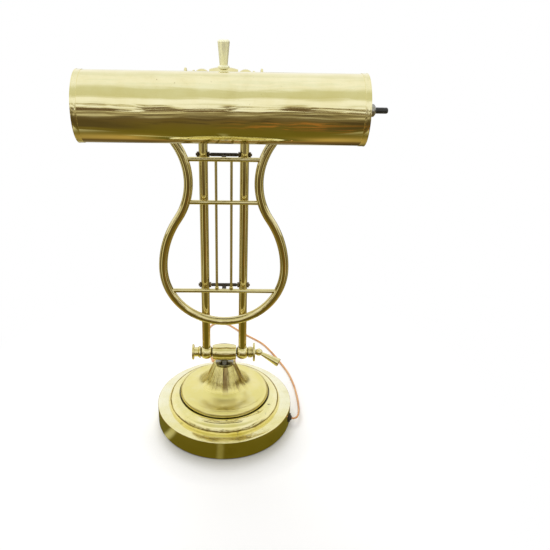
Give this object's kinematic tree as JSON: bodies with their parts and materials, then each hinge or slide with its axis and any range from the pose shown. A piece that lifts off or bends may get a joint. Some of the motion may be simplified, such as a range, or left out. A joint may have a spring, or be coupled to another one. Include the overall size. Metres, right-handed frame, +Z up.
{
  "type": "desk lamp",
  "caption": "Polished brass lyre desk lamp: weighted round foot, tilting two-tube column carrying a lyre with strings, clamp lever, tilting trough shade with rotary switch.",
  "frame": {"origin": "centre of the felt's underside, on the table", "axes": "+X along the shade to the switch, +Y away from the sitter, +Z up"},
  "size_m": [0.3043, 0.3285, 0.478],
  "materials": {
    "spun_brass": "polished spun and rolled sheet",
    "turned_brass": "polished turnings",
    "tube_brass": "polished drawn tube and rod",
    "steel": "plain zinc-plated",
    "dark_steel": "blackened steel",
    "grey_steel": "satin nickel",
    "cast_weight": "raw casting",
    "felt": "dense felt",
    "grommet_rubber": "matte",
    "lead_plastic": "sheathed wire",
    "cord_plastic": "clear gold flex",
    "plug_plastic": "moulded",
    "black_plastic": "moulded",
    "holder_plastic": "glazed porcelain",
    "lamp_glass": "frosted",
    "lamp_cap_metal": "rolled screw shell"
  },
  "bodies": {
    "base": {"base_felt": "felt", "base_weight": "cast_weight", "base_drum": "spun_brass", "base_step_ring": "spun_brass", "base_bell": "spun_brass", "base_stud": "steel", "base_under_nut": "steel", "neck_washer": "dark_steel", "base_barrel": "turned_brass", "cord_grommet": "grommet_rubber", "base_lead": "lead_plastic", "cord": "cord_plastic", "cord_coil": "cord_plastic", "coil_tie": "black_plastic", "plug_body": "plug_plastic", "plug_pins": "steel"},
    "column": {"base_knuckle_left": "turned_brass", "base_knuckle_right": "turned_brass", "base_bolt": "steel", "base_cap": "turned_brass", "base_collar": "turned_brass", "upright_left": "tube_brass", "upright_right": "tube_brass", "upright_lead": "lead_plastic", "lyre_frame": "tube_brass", "lyre_bar_upper": "tube_brass", "lyre_bar_middle": "tube_brass", "lyre_bar_lower": "tube_brass", "lyre_strings": "tube_brass", "string_ferrules": "turned_brass", "tie_rod_upper": "dark_steel", "tie_rod_lower": "dark_steel", "tie_nuts": "dark_steel", "lyre_bracket_upper": "turned_brass", "lyre_bracket_lower": "turned_brass", "head_knuckle_left": "turned_brass", "head_knuckle_right": "turned_brass", "head_bolt": "steel", "head_cap_left": "turned_brass", "head_cap_right": "turned_brass"},
    "lever": {"clamp_lever": "turned_brass"},
    "head": {"head_barrel": "turned_brass", "tilt_handle": "turned_brass", "shade_stem": "turned_brass", "shade_nut": "steel", "shade_shell": "spun_brass", "shade_cap_left": "spun_brass", "shade_cap_right": "spun_brass", "lampholder": "holder_plastic", "lamp_bulb": "lamp_glass", "lamp_cap": "lamp_cap_metal", "switch_body": "black_plastic", "switch_bush": "grey_steel", "switch_washer": "grey_steel", "switch_nut": "grey_steel", "shade_lead": "lead_plastic"},
    "knob": {"switch_knob": "black_plastic"}
  },
  "joints": [
    {"name": "base_tilt", "type": "hinge", "parent": "base", "child": "column", "pos_m": [0, 0, 0.0995], "axis": [1, 0, 0], "range_deg": [-30, 30]},
    {"name": "lever_turn", "type": "hinge", "parent": "column", "child": "lever", "pos_m": [0.0443, 0, 0.0995], "axis": [1, 0, 0], "range_deg": [-90, 0]},
    {"name": "head_tilt", "type": "hinge", "parent": "column", "child": "head", "pos_m": [0, 0, 0.44], "axis": [1, 0, 0], "range_deg": [-75, 12]},
    {"name": "switch_turn", "type": "hinge", "parent": "head", "child": "knob", "pos_m": [0.15, -0.055, 0.4205], "axis": [1, 0, 0], "continuous": true}
  ]
}
